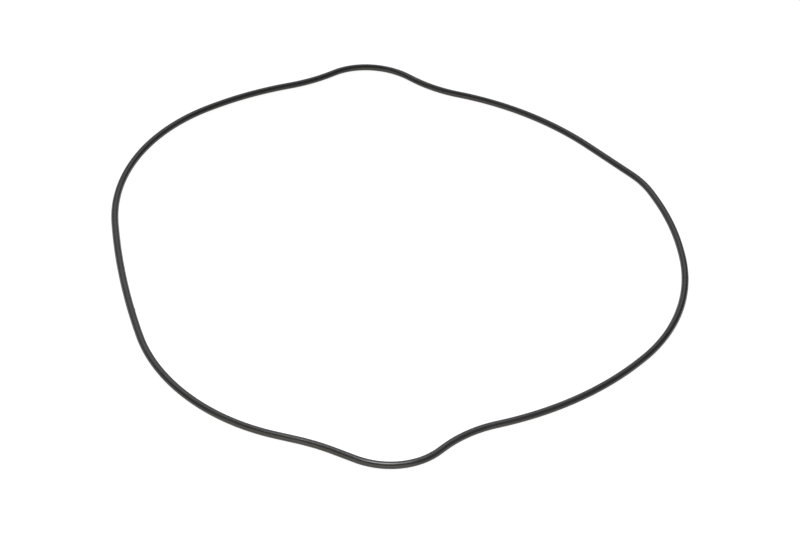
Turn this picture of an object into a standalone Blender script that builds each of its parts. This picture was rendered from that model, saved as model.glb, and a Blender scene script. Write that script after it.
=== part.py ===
"""Clutch cover gasket, moulded in one piece as a closed loop of thin round rubber cord.

Metres, +Z up. The loop lies flat on z = 0, and its two noses lie one behind the other
along the Y axis. The origin is at the middle of the outline, on the surface that the
gasket lies on.
"""

import math

import bmesh
import bpy
from mathutils import Matrix, Vector

# Cord section. It is round, in facets, with one facet level at the top and one at the bottom.
CORD_DIAMETER = 0.0020
SECTION_FACETS = 16

# Mould parting line: a fine ridge of flash, halfway up the inner and the outer side.
FLASH_REACH = 0.00005
FLASH_HEIGHT = 0.00012

# Gate mark: the stub of rubber left where the mould was filled, on the inner side.
GATE_DIAMETER = 0.0005
GATE_REACH = 0.00012
GATE_SIDES = 12
GATE_PLACE = 0.2  # share of the left run's bend, from its front end

# Bend radii of the cord's middle line.
NOSE_RADIUS = 0.0195
RIGHT_NECK_RADIUS = 0.038
LEFT_NECK_RADIUS = 0.056
RIGHT_RADIUS = 0.083
RIGHT_REAR_RADIUS = 0.0255
REAR_RIGHT_RADIUS = 0.079
SHOULDER_RADIUS = 0.062
FRONT_LEFT_RADIUS = 0.053
FLANK_RADIUS = 0.1045
LEFT_RUN_RADIUS = 0.260

# Corners of the middle line: the points where its straight legs would cross if the bends
# were sharp. Each has x, y and the radius of its bend, in turn clockwise from above.
CORNERS = {
    "right_front": (0.0847, -0.0252, SHOULDER_RADIUS),
    "front_right": (0.0477, -0.0626, FLANK_RADIUS),
    "front_right_neck": (0.0152, -0.0739, RIGHT_NECK_RADIUS),
    "front_nose": (-0.0019, -0.0909, NOSE_RADIUS),
    "front_left_neck": (-0.0243, -0.0803, LEFT_NECK_RADIUS),
    "front_left": (-0.0635, -0.0700, FRONT_LEFT_RADIUS),
    "left_run": (-0.0791, -0.0191, LEFT_RUN_RADIUS),
    "left_rear": (-0.0867, 0.0411, SHOULDER_RADIUS),
    "rear_left": (-0.0450, 0.0709, FLANK_RADIUS),
    "rear_left_neck": (-0.0249, 0.0789, LEFT_NECK_RADIUS),
    "rear_nose": (-0.0056, 0.0933, NOSE_RADIUS),
    "rear_right_neck": (0.0136, 0.0778, RIGHT_NECK_RADIUS),
    "rear_right": (0.0456, 0.0693, REAR_RIGHT_RADIUS),
    "right_rear": (0.0767, 0.0346, RIGHT_REAR_RADIUS),
    "right": (0.0833, 0.0163, RIGHT_RADIUS),
}

# Fineness of the bends: the angle between one station of the cord and the next.
BEND_STEP = math.radians(3.0)

# Black moulded rubber.
RUBBER_COLOUR = (0.018, 0.018, 0.019, 1.0)
RUBBER_ROUGHNESS = 0.45


class Bend:
    """One bend of the middle line: an arc that is tangent to the legs on its two sides."""

    def __init__(self, before, corner, after, radius):
        self.corner = corner
        self.leg_in = (corner - before).normalized()
        self.leg_out = (after - corner).normalized()
        # The turn is positive where the line turns left and negative where it turns right.
        self.turn = math.atan2(self.leg_in.cross(self.leg_out), self.leg_in.dot(self.leg_out))
        self.radius = radius

    def reach(self):
        """Length of leg that the bend takes up on each side of its corner."""
        return self.radius * math.tan(abs(self.turn) / 2)

    def limit(self, room):
        """Keep the bend within the length of leg that it has on each side."""
        if self.reach() > room:
            self.radius *= room / self.reach()

    def station(self, share):
        """Place and outward direction at a share of the arc. The loop runs clockwise."""
        side = math.copysign(1.0, self.turn)
        to_centre = Vector((-self.leg_in.y, self.leg_in.x)) * side
        start = self.corner - self.leg_in * self.reach()
        spoke = -to_centre * self.radius
        spoke.rotate(Matrix.Rotation(self.turn * share, 2))
        place = start + to_centre * self.radius + spoke
        outward = spoke.normalized() * -side
        return place, outward


def loop_bends():
    """All bends in turn, each limited by the leg that it shares with its neighbours."""
    corners = [Vector((x, y)) for x, y, radius in CORNERS.values()]
    radii = [radius for x, y, radius in CORNERS.values()]
    count = len(corners)
    bends = []
    for i in range(count):
        bends.append(Bend(corners[i - 1], corners[i], corners[(i + 1) % count], radii[i]))
    rooms = []
    for i in range(count):
        leg = (corners[(i + 1) % count] - corners[i]).length
        both = bends[i].reach() + bends[(i + 1) % count].reach()
        rooms.append(min(1.0, leg / both))
    for i in range(count):
        bends[i].limit(bends[i].reach() * min(rooms[i - 1], rooms[i]))
    return bends


def loop_stations(bends):
    """Places and outward directions along the whole loop. Straight legs need none of their own."""
    stations = []
    for bend in bends:
        steps = max(2, math.ceil(abs(bend.turn) / BEND_STEP))
        for step in range(steps + 1):
            stations.append(bend.station(step / steps))
    return stations


def cord_section():
    """Outline of the cord's section as (outward, up) from its middle, anticlockwise."""
    radius = CORD_DIAMETER / 2
    facet = 2 * math.pi / SECTION_FACETS
    tip = radius / math.cos(facet / 2)
    outline = []
    for i in range(SECTION_FACETS):
        angle = facet * (i + 0.5)
        outline.append((tip * math.cos(angle), tip * math.sin(angle)))
        if i == SECTION_FACETS // 2 - 1:
            outline.extend(flash_ridge(-1.0, radius))
        if i == SECTION_FACETS - 1:
            outline.extend(flash_ridge(1.0, radius))
    return outline


def flash_ridge(side, radius):
    """Ridge of flash on one side of the section: 1 is the outer side and -1 the inner."""
    half = FLASH_HEIGHT / 2
    return [
        (side * radius, -side * half),
        (side * (radius + FLASH_REACH), 0.0),
        (side * radius, side * half),
    ]


def cord_mesh(stations, middle):
    """Sweep the section along the loop and join the last ring to the first."""
    section = cord_section()
    mesh_maker = bmesh.new()
    rings = []
    for place, outward in stations:
        ring = []
        for out, up in section:
            point = place - middle + outward * out
            ring.append(mesh_maker.verts.new((point.x, point.y, up + CORD_DIAMETER / 2)))
        rings.append(ring)
    around = len(section)
    for i, ring in enumerate(rings):
        following = rings[(i + 1) % len(rings)]
        for j in range(around):
            k = (j + 1) % around
            mesh_maker.faces.new((ring[j], ring[k], following[k], following[j]))
    bmesh.ops.recalc_face_normals(mesh_maker, faces=mesh_maker.faces)
    mesh = bpy.data.meshes.new("clutch_cover_gasket")
    mesh_maker.to_mesh(mesh)
    mesh_maker.free()
    return mesh


def gate_stub(place, outward):
    """The gate mark's stub, lying level, from inside the cord to just past its inner side."""
    length = CORD_DIAMETER / 2 + GATE_REACH
    mesh_maker = bmesh.new()
    bmesh.ops.create_cone(
        mesh_maker,
        cap_ends=True,
        segments=GATE_SIDES,
        radius1=GATE_DIAMETER / 2,
        radius2=GATE_DIAMETER / 2,
        depth=length,
    )
    mesh = bpy.data.meshes.new("gate_stub")
    mesh_maker.to_mesh(mesh)
    mesh_maker.free()
    stub = bpy.data.objects.new("gate_stub", mesh)
    bpy.context.collection.objects.link(stub)
    inward = Vector((-outward.x, -outward.y, 0.0))
    stub.rotation_mode = "QUATERNION"
    stub.rotation_quaternion = inward.to_track_quat("Z", "Y")
    stub.location = Vector((place.x, place.y, CORD_DIAMETER / 2)) + inward * length / 2
    stub.hide_render = True
    stub.display_type = "WIRE"
    return stub


def loop_middle(stations):
    """Middle of the outline's box."""
    xs = [place.x for place, outward in stations]
    ys = [place.y for place, outward in stations]
    return Vector(((min(xs) + max(xs)) / 2, (min(ys) + max(ys)) / 2))


def black_rubber():
    """Moulded black rubber with a soft sheen."""
    rubber = bpy.data.materials.new("black_rubber")
    rubber.use_nodes = True
    shader = rubber.node_tree.nodes["Principled BSDF"]
    shader.inputs["Base Color"].default_value = RUBBER_COLOUR
    shader.inputs["Roughness"].default_value = RUBBER_ROUGHNESS
    shader.inputs["Metallic"].default_value = 0.0
    return rubber


def build_gasket():
    """The gasket: the swept cord, with the gate mark's stub joined to it."""
    bends = loop_bends()
    stations = loop_stations(bends)
    middle = loop_middle(stations)
    mesh = cord_mesh(stations, middle)
    mesh.materials.append(black_rubber())
    mesh.shade_smooth()
    gasket = bpy.data.objects.new("clutch_cover_gasket", mesh)
    bpy.context.collection.objects.link(gasket)
    left_run = bends[list(CORNERS).index("left_run")]
    place, outward = left_run.station(GATE_PLACE)
    join = gasket.modifiers.new("gate_mark", "BOOLEAN")
    join.operation = "UNION"
    join.solver = "EXACT"
    join.object = gate_stub(place - middle, outward)
    return gasket


for old in list(bpy.data.objects):
    bpy.data.objects.remove(old, do_unlink=True)

build_gasket()
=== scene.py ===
import math

import bpy
from mathutils import Matrix, Vector


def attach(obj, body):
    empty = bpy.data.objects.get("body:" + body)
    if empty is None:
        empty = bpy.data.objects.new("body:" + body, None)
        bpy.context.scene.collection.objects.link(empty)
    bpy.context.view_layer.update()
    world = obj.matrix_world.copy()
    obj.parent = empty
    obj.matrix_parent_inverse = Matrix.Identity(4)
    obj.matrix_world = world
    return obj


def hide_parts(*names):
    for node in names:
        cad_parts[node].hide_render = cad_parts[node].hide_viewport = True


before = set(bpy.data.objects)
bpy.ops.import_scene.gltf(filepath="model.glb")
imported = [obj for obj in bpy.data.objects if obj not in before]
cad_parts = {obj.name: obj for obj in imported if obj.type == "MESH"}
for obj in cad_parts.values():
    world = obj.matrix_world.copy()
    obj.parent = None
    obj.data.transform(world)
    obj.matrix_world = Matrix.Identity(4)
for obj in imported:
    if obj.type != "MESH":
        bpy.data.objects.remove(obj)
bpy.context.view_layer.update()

# The gasket.
# A closed loop of thin round cord, moulded in one piece from black nitrile rubber. The two halves of
# its mould leave a fine ridge of flash along both sides, and a torn stub where the rubber came in.
# Nothing fixes it: it lies loose, as it does before it is pressed into the groove of the crankcase.

CORD_DIAMETER = 0.0020
STATION_SPACING = 0.0005
BEND_POINTS = 60
SECTION_POINTS = 64
SECTION_CROWDING = 0.37

FLASH_REACH = 0.00005
FLASH_HEIGHT = 0.00012
# The flash is uneven: its reach goes from this share up to one more than it.
FLASH_LEAST = 0.4
FLASH_WAVES_PER_METRE = 260.0

GATE_LENGTH = 0.0005
GATE_HEIGHT = 0.0005
GATE_REACH = 0.00012
# The gate's place, as a share of the way round the loop.
GATE_SHARE = 0.4375
TEAR_SLOPE = 0.16
TEAR_DEPTH = 0.0001
TEAR_TUFTS_PER_METRE = 5200.0
# The stub is torn from this share of its depth, counted from its middle.
TEAR_START = 0.30
MOULDING_SEED = 7

NOSE_RADIUS = 0.0195
RIGHT_NECK_RADIUS = 0.038
LEFT_NECK_RADIUS = 0.056
RIGHT_RADIUS = 0.083
RIGHT_REAR_RADIUS = 0.0255
REAR_RIGHT_RADIUS = 0.079
SHOULDER_RADIUS = 0.062
FRONT_LEFT_RADIUS = 0.053
FLANK_RADIUS = 0.1045
LEFT_RUN_RADIUS = 0.260

# Where the straight legs of the cord's middle line would cross: x, y and the bend's radius.
LOOP_CORNERS = [
    (0.0847, -0.0252, SHOULDER_RADIUS),
    (0.0477, -0.0626, FLANK_RADIUS),
    (0.0152, -0.0739, RIGHT_NECK_RADIUS),
    (-0.0019, -0.0909, NOSE_RADIUS),
    (-0.0243, -0.0803, LEFT_NECK_RADIUS),
    (-0.0635, -0.0700, FRONT_LEFT_RADIUS),
    (-0.0791, -0.0191, LEFT_RUN_RADIUS),
    (-0.0867, 0.0411, SHOULDER_RADIUS),
    (-0.0450, 0.0709, FLANK_RADIUS),
    (-0.0249, 0.0789, LEFT_NECK_RADIUS),
    (-0.0056, 0.0933, NOSE_RADIUS),
    (0.0136, 0.0778, RIGHT_NECK_RADIUS),
    (0.0456, 0.0693, REAR_RIGHT_RADIUS),
    (0.0767, 0.0346, RIGHT_REAR_RADIUS),
    (0.0833, 0.0163, RIGHT_RADIUS),
]

# A point lies on the stub if it is nearer to it than this.
ON_THE_STUB = 0.000001
# An edge of the rubber looks sharp where it folds by more than this.
CREASE = math.radians(50)


def add_step(tree, kind, feeds, **settings):
    """One node of a tree. Feeds give its inputs, by name or place, a value or another's output."""
    step = tree.nodes.new(kind)
    for name, value in settings.items():
        setattr(step, name, value)
    for socket, value in feeds.items():
        if isinstance(value, bpy.types.NodeSocket):
            tree.links.new(value, step.inputs[socket])
        else:
            step.inputs[socket].default_value = value
    return step


def reckon(tree, operation, *values):
    """The output of one sum."""
    return add_step(tree, "ShaderNodeMath", dict(enumerate(values)), operation=operation).outputs[0]


def scaled(tree, direction, length):
    """A direction made as long as asked."""
    feeds = {"Vector": direction, "Scale": length}
    return add_step(tree, "ShaderNodeVectorMath", feeds, operation="SCALE").outputs["Vector"]


def middle_line(tree, given):
    """The cord's middle line: corners rounded, stations evenly spaced, centred and at its height."""
    legs = add_step(tree, "GeometryNodeMeshToCurve", {"Mesh": given["Corners"]})
    bend = add_step(tree, "GeometryNodeInputNamedAttribute", {"Name": "bend_radius"}, data_type="FLOAT")
    rounded = add_step(
        tree,
        "GeometryNodeFilletCurve",
        {
            "Curve": legs.outputs["Curve"],
            "Radius": bend.outputs["Attribute"],
            "Count": given["Bend Points"],
            "Limit Radius": True,
        },
        mode="POLY",
    )
    even = add_step(
        tree,
        "GeometryNodeResampleCurve",
        {"Curve": rounded.outputs["Curve"], "Length": given["Station Spacing"]},
        mode="LENGTH",
    )
    outline = {"Geometry": even.outputs["Curve"], "Use Radius": False}
    box = add_step(tree, "GeometryNodeBoundBox", outline)
    box_corners = {0: box.outputs["Min"], 1: box.outputs["Max"]}
    both = add_step(tree, "ShaderNodeVectorMath", box_corners, operation="ADD")
    to_origin = scaled(tree, both.outputs["Vector"], -0.5)
    off_centre = add_step(tree, "ShaderNodeSeparateXYZ", {"Vector": to_origin})
    shift = add_step(
        tree,
        "ShaderNodeCombineXYZ",
        {
            "X": off_centre.outputs["X"],
            "Y": off_centre.outputs["Y"],
            "Z": reckon(tree, "MULTIPLY", given["Cord Diameter"], 0.5),
        },
    )
    placed = add_step(
        tree,
        "GeometryNodeTransform",
        {"Geometry": even.outputs["Curve"], "Translation": shift.outputs["Vector"]},
    )
    line = {"Curve": placed.outputs["Geometry"]}
    return add_step(tree, "GeometryNodeSetCurveNormal", line, mode="Z_UP").outputs["Curve"]


def cord_section(tree, given):
    """The round section. Its points crowd towards its two sides, where the flash needs them."""
    ring = add_step(
        tree,
        "GeometryNodeCurvePrimitiveCircle",
        {"Resolution": given["Section Points"], "Radius": 1.0},
        mode="RADIUS",
    )
    index = add_step(tree, "GeometryNodeInputIndex", {})
    way_round = reckon(tree, "DIVIDE", index.outputs["Index"], given["Section Points"])
    turn = reckon(tree, "MULTIPLY", way_round, math.tau)
    pull = reckon(tree, "SINE", reckon(tree, "MULTIPLY", turn, 2.0))
    angle = reckon(tree, "SUBTRACT", turn, reckon(tree, "MULTIPLY", pull, given["Section Crowding"]))
    radius = reckon(tree, "MULTIPLY", given["Cord Diameter"], 0.5)
    across = reckon(tree, "MULTIPLY", reckon(tree, "COSINE", angle), radius)
    up = reckon(tree, "MULTIPLY", reckon(tree, "SINE", angle), radius)
    place = add_step(tree, "ShaderNodeCombineXYZ", {"X": across, "Y": up})
    section = add_step(
        tree,
        "GeometryNodeSetPosition",
        {"Geometry": ring.outputs["Curve"], "Position": place.outputs["Vector"]},
    )
    return section.outputs["Geometry"]


def gate_stub(tree, given, line):
    """The stub of the gate: a short round bar that points into the loop, with a torn end."""
    spot = add_step(tree, "GeometryNodeSampleCurve", {"Curves": line, "Factor": given["Gate Share"]})
    radius = reckon(tree, "MULTIPLY", given["Cord Diameter"], 0.5)
    depth = reckon(tree, "ADD", radius, given["Gate Reach"])
    # The bar starts a metre wide, so that the gate's own length and height are its scale.
    bar = add_step(
        tree,
        "GeometryNodeMeshCylinder",
        {"Vertices": 28, "Side Segments": 8, "Fill Segments": 5, "Radius": 0.5, "Depth": depth},
        fill_type="TRIANGLE_FAN",
    )
    size = add_step(
        tree,
        "ShaderNodeCombineXYZ",
        {"X": given["Gate Length"], "Y": given["Gate Height"], "Z": 1.0},
    )
    sized = add_step(
        tree,
        "GeometryNodeTransform",
        {"Geometry": bar.outputs["Mesh"], "Scale": size.outputs["Vector"]},
    )
    where = add_step(tree, "GeometryNodeInputPosition", {})
    place_on_bar = add_step(tree, "ShaderNodeSeparateXYZ", {"Vector": where.outputs["Position"]})
    tufts = add_step(
        tree,
        "ShaderNodeTexNoise",
        {"Scale": TEAR_TUFTS_PER_METRE, "Detail": 2.0, "W": given["Seed"]},
        noise_dimensions="4D",
    )
    slope = reckon(tree, "MULTIPLY", place_on_bar.outputs["X"], given["Tear Slope"])
    tuft = reckon(tree, "SUBTRACT", tufts.outputs["Fac"], 0.5)
    ragged = reckon(tree, "MULTIPLY", tuft, given["Tear Depth"])
    tear = add_step(tree, "ShaderNodeCombineXYZ", {"Z": reckon(tree, "ADD", slope, ragged)})
    tear_start = reckon(tree, "MULTIPLY", depth, TEAR_START)
    end = reckon(tree, "GREATER_THAN", place_on_bar.outputs["Z"], tear_start)
    torn = add_step(
        tree,
        "GeometryNodeSetPosition",
        {"Geometry": sized.outputs["Geometry"], "Selection": end, "Offset": tear.outputs["Vector"]},
    )
    inward = spot.outputs["Normal"]
    turned = add_step(
        tree,
        "FunctionNodeAxesToRotation",
        {"Primary Axis": inward, "Secondary Axis": spot.outputs["Tangent"]},
        primary_axis="Z",
        secondary_axis="X",
    )
    half_in = scaled(tree, inward, reckon(tree, "MULTIPLY", depth, 0.5))
    from_line = {0: spot.outputs["Position"], 1: half_in}
    place = add_step(tree, "ShaderNodeVectorMath", from_line, operation="ADD")
    stub = add_step(
        tree,
        "GeometryNodeTransform",
        {
            "Geometry": torn.outputs["Geometry"],
            "Translation": place.outputs["Vector"],
            "Rotation": turned.outputs["Rotation"],
        },
    )
    return stub.outputs["Geometry"]


def mark(tree, geometry, name, value):
    """The geometry with a named share on each of its points, for the rubber's material to read."""
    kept = add_step(
        tree,
        "GeometryNodeStoreNamedAttribute",
        {"Geometry": geometry, "Name": name, "Value": value},
        data_type="FLOAT",
        domain="POINT",
    )
    return kept.outputs["Geometry"]


def flash_share(tree, given):
    """The share of the flash's reach that a point has: 1 at half the cord's height, 0 off the flash."""
    where = add_step(tree, "GeometryNodeInputPosition", {})
    height = add_step(tree, "ShaderNodeSeparateXYZ", {"Vector": where.outputs["Position"]}).outputs["Z"]
    middle = reckon(tree, "MULTIPLY", given["Cord Diameter"], 0.5)
    off_middle = reckon(tree, "ABSOLUTE", reckon(tree, "SUBTRACT", height, middle))
    heights_off = reckon(tree, "DIVIDE", off_middle, given["Flash Height"])
    fall = reckon(tree, "MULTIPLY", heights_off, 2.0)
    return reckon(tree, "MAXIMUM", reckon(tree, "SUBTRACT", 1.0, fall), 0.0)


def gasket_tree():
    """Geometry Nodes: sweep the section along the closed line, raise the flash and add the gate."""
    tree = bpy.data.node_groups.new("moulded_cord_loop", "GeometryNodeTree")
    sockets = tree.interface
    sockets.new_socket("Corners", in_out="INPUT", socket_type="NodeSocketGeometry")
    for name, kind, value in (
        ("Cord Diameter", "NodeSocketFloat", CORD_DIAMETER),
        ("Station Spacing", "NodeSocketFloat", STATION_SPACING),
        ("Bend Points", "NodeSocketInt", BEND_POINTS),
        ("Section Points", "NodeSocketInt", SECTION_POINTS),
        ("Section Crowding", "NodeSocketFloat", SECTION_CROWDING),
        ("Flash Reach", "NodeSocketFloat", FLASH_REACH),
        ("Flash Height", "NodeSocketFloat", FLASH_HEIGHT),
        ("Gate Length", "NodeSocketFloat", GATE_LENGTH),
        ("Gate Height", "NodeSocketFloat", GATE_HEIGHT),
        ("Gate Reach", "NodeSocketFloat", GATE_REACH),
        ("Gate Share", "NodeSocketFloat", GATE_SHARE),
        ("Tear Slope", "NodeSocketFloat", TEAR_SLOPE),
        ("Tear Depth", "NodeSocketFloat", TEAR_DEPTH),
        ("Seed", "NodeSocketInt", MOULDING_SEED),
    ):
        sockets.new_socket(name, in_out="INPUT", socket_type=kind).default_value = value
    sockets.new_socket("Rubber", in_out="INPUT", socket_type="NodeSocketMaterial")
    sockets.new_socket("Gasket", in_out="OUTPUT", socket_type="NodeSocketGeometry")
    given = add_step(tree, "NodeGroupInput", {}).outputs
    line = middle_line(tree, given)
    cord = add_step(
        tree,
        "GeometryNodeCurveToMesh",
        {"Curve": line, "Profile Curve": cord_section(tree, given)},
    )
    waves = add_step(
        tree,
        "ShaderNodeTexNoise",
        {"Scale": FLASH_WAVES_PER_METRE, "Detail": 3.0, "W": given["Seed"]},
        noise_dimensions="4D",
    )
    unevenness = reckon(tree, "ADD", waves.outputs["Fac"], FLASH_LEAST)
    reach = reckon(tree, "MULTIPLY", unevenness, given["Flash Reach"])
    height = reckon(tree, "MULTIPLY", reach, flash_share(tree, given))
    outward = add_step(tree, "GeometryNodeInputNormal", {})
    flashed = add_step(
        tree,
        "GeometryNodeSetPosition",
        {"Geometry": cord.outputs["Mesh"], "Offset": scaled(tree, outward.outputs["Normal"], height)},
    )
    stub = gate_stub(tree, given, line)
    union = add_step(tree, "GeometryNodeMeshBoolean", {}, operation="UNION", solver="EXACT")
    tree.links.new(flashed.outputs["Geometry"], union.inputs["Mesh 2"])
    tree.links.new(stub, union.inputs["Mesh 2"])
    plain = add_step(
        tree,
        "GeometryNodeRemoveAttribute",
        {"Geometry": union.outputs["Mesh"], "Name": "bend_radius"},
    )
    ridged = mark(tree, plain.outputs["Geometry"], "flash", flash_share(tree, given))
    from_stub = add_step(tree, "GeometryNodeProximity", {"Geometry": stub}, target_element="FACES")
    on_stub = reckon(tree, "LESS_THAN", from_stub.outputs["Distance"], ON_THE_STUB)
    marked = mark(tree, ridged, "torn", on_stub)
    smooth = add_step(tree, "GeometryNodeSetShadeSmooth", {"Geometry": marked})
    fold = add_step(tree, "GeometryNodeInputMeshEdgeAngle", {})
    sharp = reckon(tree, "GREATER_THAN", fold.outputs["Unsigned Angle"], CREASE)
    creased = add_step(
        tree,
        "GeometryNodeSetShadeSmooth",
        {"Geometry": smooth.outputs["Geometry"], "Selection": sharp, "Shade Smooth": False},
        domain="EDGE",
    )
    real = add_step(tree, "GeometryNodeRealizeInstances", {"Geometry": creased.outputs["Geometry"]})
    finish = add_step(
        tree,
        "GeometryNodeSetMaterial",
        {"Geometry": real.outputs["Geometry"], "Material": given["Rubber"]},
    )
    add_step(tree, "NodeGroupOutput", {"Gasket": finish.outputs["Geometry"]})
    return tree


# The rubber's black drifts between these two along the cord.
DEEP_BLACK = (0.012, 0.012, 0.0124, 1.0)
WEAK_BLACK = (0.019, 0.019, 0.0196, 1.0)
BLACK_PATCHES_PER_METRE = 90.0
MOTTLE_PER_METRE = 900.0
GRAIN_PER_METRE = 6500.0
MOTTLE_DEPTH = 0.00003
GRAIN_DEPTH = 0.00001
SLEEKEST = 0.28
DULLEST = 0.36
# What the flash and the torn stub add to the roughness of the skin.
FLASH_DULLNESS = 0.15
TORN_DULLNESS = 0.3
RUBBER_IOR = 1.5

DUST_COLOUR = (0.09, 0.086, 0.08, 1.0)
# Dust lies in cells of about two and a half millimetres, most of them empty. A speck's size and its
# raggedness are shares of a cell.
DUST_CELLS_PER_METRE = 400.0
DUST_SIZE = 0.11
DUST_RAGGEDNESS = 0.12
EMPTY_CELLS = 0.85


def noise(tree, spot, per_metre, detail):
    """A cloudy share from 0 to 1, with so many clouds to the metre."""
    feeds = {"Vector": spot, "Scale": per_metre, "Detail": detail}
    return add_step(tree, "ShaderNodeTexNoise", feeds).outputs["Fac"]


def blended(tree, share, first, second):
    """The colour at a share of the way from the first to the second."""
    feeds = {"Factor": share, 6: first, 7: second}
    return add_step(tree, "ShaderNodeMix", feeds, data_type="RGBA").outputs[2]


def black_rubber():
    """Moulded nitrile rubber: near black, satin, with the mould's fine grain and a little dust."""
    rubber = bpy.data.materials.new("black_rubber")
    rubber.use_nodes = True
    tree = rubber.node_tree
    shader = tree.nodes["Principled BSDF"]
    spot = add_step(tree, "ShaderNodeTexCoord", {}).outputs["Object"]
    mottle = noise(tree, spot, MOTTLE_PER_METRE, 3.0)
    grain = noise(tree, spot, GRAIN_PER_METRE, 2.0)
    tone = add_step(
        tree,
        "ShaderNodeMapRange",
        {"Value": noise(tree, spot, BLACK_PATCHES_PER_METRE, 3.0), "From Min": 0.35, "From Max": 0.65},
    )
    black = blended(tree, tone.outputs["Result"], DEEP_BLACK, WEAK_BLACK)
    cells = add_step(tree, "ShaderNodeTexVoronoi", {"Vector": spot, "Scale": DUST_CELLS_PER_METRE})
    ragged = reckon(tree, "MULTIPLY", grain, DUST_RAGGEDNESS)
    from_middle = reckon(tree, "ADD", cells.outputs["Distance"], ragged)
    draw = add_step(tree, "ShaderNodeSeparateXYZ", {"Vector": cells.outputs["Color"]}).outputs["X"]
    filled = reckon(tree, "GREATER_THAN", draw, EMPTY_CELLS)
    dust = reckon(tree, "MULTIPLY", reckon(tree, "LESS_THAN", from_middle, DUST_SIZE), filled)
    tree.links.new(blended(tree, dust, black, DUST_COLOUR), shader.inputs["Base Color"])
    flash = add_step(tree, "ShaderNodeAttribute", {}, attribute_name="flash").outputs["Fac"]
    torn = add_step(tree, "ShaderNodeAttribute", {}, attribute_name="torn").outputs["Fac"]
    flash_dull = reckon(tree, "MULTIPLY", flash, FLASH_DULLNESS)
    torn_dull = reckon(tree, "MULTIPLY", torn, TORN_DULLNESS)
    sheen = add_step(
        tree,
        "ShaderNodeMapRange",
        {
            "Value": mottle,
            "From Min": 0.3,
            "From Max": 0.7,
            "To Min": SLEEKEST,
            "To Max": DULLEST,
        },
    )
    dull = reckon(tree, "ADD", flash_dull, torn_dull)
    roughness = reckon(tree, "ADD", sheen.outputs["Result"], dull)
    tree.links.new(roughness, shader.inputs["Roughness"])
    swell = add_step(
        tree,
        "ShaderNodeBump",
        {"Strength": 0.4, "Distance": MOTTLE_DEPTH, "Height": mottle},
    )
    bump = add_step(
        tree,
        "ShaderNodeBump",
        {
            "Strength": 0.5,
            "Distance": GRAIN_DEPTH,
            "Height": grain,
            "Normal": swell.outputs["Normal"],
        },
    )
    tree.links.new(bump.outputs["Normal"], shader.inputs["Normal"])
    shader.inputs["IOR"].default_value = RUBBER_IOR
    return rubber


corners = bpy.data.meshes.new("gasket_corners")
corners.from_pydata(
    [(x, y, 0.0) for x, y, radius in LOOP_CORNERS],
    [(i, (i + 1) % len(LOOP_CORNERS)) for i in range(len(LOOP_CORNERS))],
    [],
)
bend_radius = corners.attributes.new("bend_radius", "FLOAT", "POINT")
for i, (x, y, radius) in enumerate(LOOP_CORNERS):
    bend_radius.data[i].value = radius
cord = bpy.data.objects.new("gasket_cord", corners)
bpy.context.collection.objects.link(cord)
moulding = cord.modifiers.new("moulding", "NODES")
moulding.node_group = gasket_tree()
rubber_socket = next(s for s in moulding.node_group.interface.items_tree if s.name == "Rubber")
moulding[rubber_socket.identifier] = black_rubber()
moulded = cord.evaluated_get(bpy.context.evaluated_depsgraph_get())
gasket = bpy.data.objects.new("gasket", bpy.data.meshes.new_from_object(moulded))
bpy.context.collection.objects.link(gasket)
bpy.data.objects.remove(cord)
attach(gasket, "root")
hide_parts("clutch_cover_gasket")

# The floor.
# A wide sheet of opal acrylic, matt on top and lit from below, as on a photographer's light table.
# It shows white, and almost no shadow falls on it. It runs far past the edges of the view.

FLOOR_REACH = 4.0
ACRYLIC_COLOUR = (0.27, 0.27, 0.27, 1.0)
ACRYLIC_ROUGHNESS = 0.9
ACRYLIC_GLOSS = 0.1
GLOW_COLOUR = (1.0, 1.0, 1.0, 1.0)
GLOW_STRENGTH = 0.92


def opal_acrylic():
    """White acrylic that glows evenly."""
    acrylic = bpy.data.materials.new("opal_acrylic")
    acrylic.use_nodes = True
    shader = acrylic.node_tree.nodes["Principled BSDF"]
    shader.inputs["Base Color"].default_value = ACRYLIC_COLOUR
    shader.inputs["Roughness"].default_value = ACRYLIC_ROUGHNESS
    shader.inputs["Specular IOR Level"].default_value = ACRYLIC_GLOSS
    shader.inputs["Emission Color"].default_value = GLOW_COLOUR
    shader.inputs["Emission Strength"].default_value = GLOW_STRENGTH
    return acrylic


sheet = bpy.data.meshes.new("floor")
sheet.from_pydata(
    [(x * FLOOR_REACH, y * FLOOR_REACH, 0.0) for x, y in ((-1, -1), (1, -1), (1, 1), (-1, 1))],
    [],
    [(0, 1, 2, 3)],
)
sheet.materials.append(opal_acrylic())
floor = bpy.data.objects.new("floor", sheet)
bpy.context.collection.objects.link(floor)

# The camera.
# It looks down at 41 degrees from the front, turned a little to the right and rolled to match.
# Its lens is a short telephoto on a full frame of 36 mm.

CAMERA_TURN = math.radians(-6.309)
CAMERA_DOWN = math.radians(41.0)
CAMERA_ROLL = math.radians(6.5)
# The camera's place, its height counted from the middle of the cord.
CAMERA_X = -0.04712
CAMERA_Y = -0.43079
CAMERA_HEIGHT = 0.36818
LENS_LENGTH = 88.0
FRAME_WIDTH = 36.0

lens = bpy.data.cameras.new("camera")
lens.lens = LENS_LENGTH
lens.sensor_width = FRAME_WIDTH
camera = bpy.data.objects.new("camera", lens)
camera.location = (CAMERA_X, CAMERA_Y, CAMERA_HEIGHT + CORD_DIAMETER / 2)
turn = Matrix.Rotation(CAMERA_TURN, 3, "Z")
tip = Matrix.Rotation(math.pi / 2 - CAMERA_DOWN, 3, "X")
roll = Matrix.Rotation(CAMERA_ROLL, 3, "Z")
camera.rotation_euler = (turn @ tip @ roll).to_euler()
bpy.context.collection.objects.link(camera)
bpy.context.scene.camera = camera
bpy.context.scene.view_settings.view_transform = "Standard"

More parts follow.
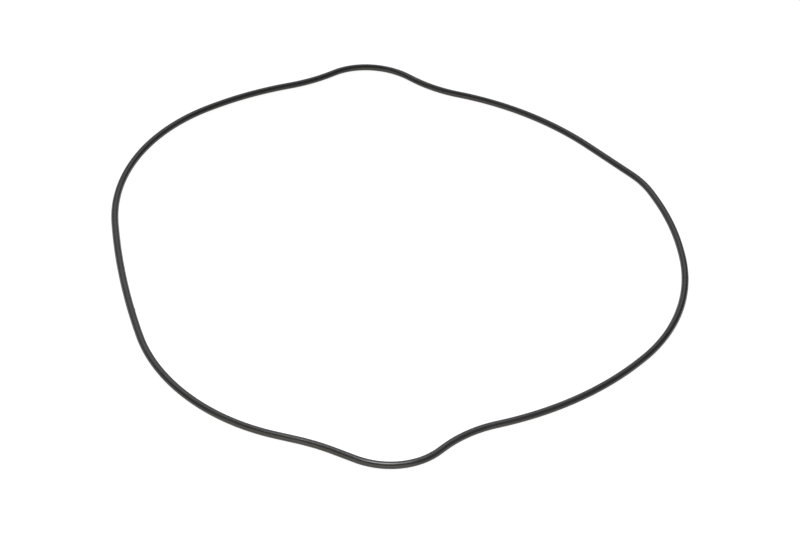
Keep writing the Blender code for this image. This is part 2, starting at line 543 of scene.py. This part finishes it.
# The lights.
# Three softboxes round the object and a small one with a honeycomb grid, aimed down at the nose, in a
# dim grey room. Their bearings run clockwise, from straight behind the object as the camera sees it.

COOL_WHITE = (0.88, 0.93, 1.0)
NEUTRAL_WHITE = (1.0, 1.0, 1.0)
WARM_WHITE = (1.0, 0.90, 0.72)
ROOM_GREY = (0.165, 0.163, 0.162, 1.0)
NOSE = (-0.0077, -0.0875)
NO_GRID = 180
NARROW_GRID = 50


def softbox(name, bearing, height, distance, size, power, colour, target=(0.0, 0.0), spread=NO_GRID):
    """An area light that faces a place on the floor, from a bearing and a height in degrees."""
    lamp = bpy.data.lights.new(name, "AREA")
    lamp.shape = "RECTANGLE"
    lamp.size, lamp.size_y = size
    lamp.spread = math.radians(spread)
    lamp.energy = power
    lamp.color = colour
    box = bpy.data.objects.new(name, lamp)
    bearing = math.radians(bearing) - CAMERA_TURN
    height = math.radians(height)
    level = distance * math.cos(height)
    aim = Vector((level * math.sin(bearing), level * math.cos(bearing), distance * math.sin(height)))
    box.location = aim + Vector((*target, 0.0))
    box.rotation_euler = (-aim).to_track_quat("-Z", "Y").to_euler()
    box.visible_camera = False
    bpy.context.collection.objects.link(box)


softbox(
    "back_softbox",
    bearing=0,
    height=48,
    distance=0.9,
    size=(0.75, 0.75),
    power=2.2,
    colour=COOL_WHITE,
)
softbox(
    "left_softbox",
    bearing=300,
    height=48,
    distance=0.9,
    size=(0.75, 0.75),
    power=2.0,
    colour=NEUTRAL_WHITE,
)
softbox(
    "low_front_strip",
    bearing=180,
    height=14,
    distance=0.42,
    size=(0.8, 0.16),
    power=1.05,
    colour=WARM_WHITE,
)
softbox(
    "nose_lamp",
    bearing=15,
    height=83,
    distance=0.3,
    size=(0.08, 0.12),
    power=0.058,
    colour=NEUTRAL_WHITE,
    target=NOSE,
    spread=NARROW_GRID,
)

room = bpy.data.worlds.new("dim_room")
room.use_nodes = True
room.node_tree.nodes["Background"].inputs["Color"].default_value = ROOM_GREY
bpy.context.scene.world = room
